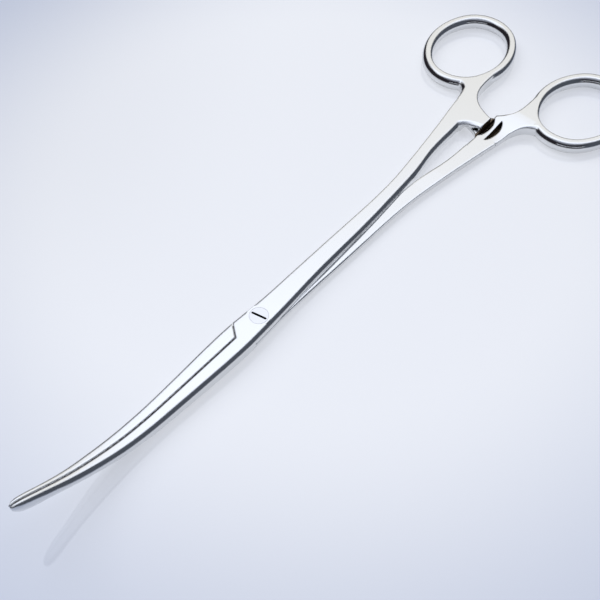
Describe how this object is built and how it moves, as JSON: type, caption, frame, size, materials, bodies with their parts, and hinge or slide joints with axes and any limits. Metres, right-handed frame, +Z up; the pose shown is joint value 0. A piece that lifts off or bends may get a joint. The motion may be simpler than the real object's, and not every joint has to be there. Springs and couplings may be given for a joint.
{
  "type": "intestinal clamp",
  "caption": "Curved intestinal clamp in polished stainless steel: long grooved jaws, lapped screw joint, slim shanks, saw-tooth ratchet and oval finger rings.",
  "frame": {"origin": "on the pivot axis at the flat underside of the joint", "axes": "+X from the pivot towards the jaw tips, +Z up away from the table, +Y towards the side of the lower half's ring"},
  "size_m": [0.2136, 0.069, 0.0181],
  "materials": {
    "steel": "mirror polish",
    "screw_steel": "polish"
  },
  "bodies": {
    "lower": {"lower_half": "steel", "joint_screw": "screw_steel"},
    "upper": {"upper_half": "steel"}
  },
  "joints": [
    {"name": "pivot", "type": "hinge", "parent": "lower", "child": "upper", "pos_m": [0, 0, 0], "axis": [0, 0, 1], "range_deg": [0, 50]}
  ]
}
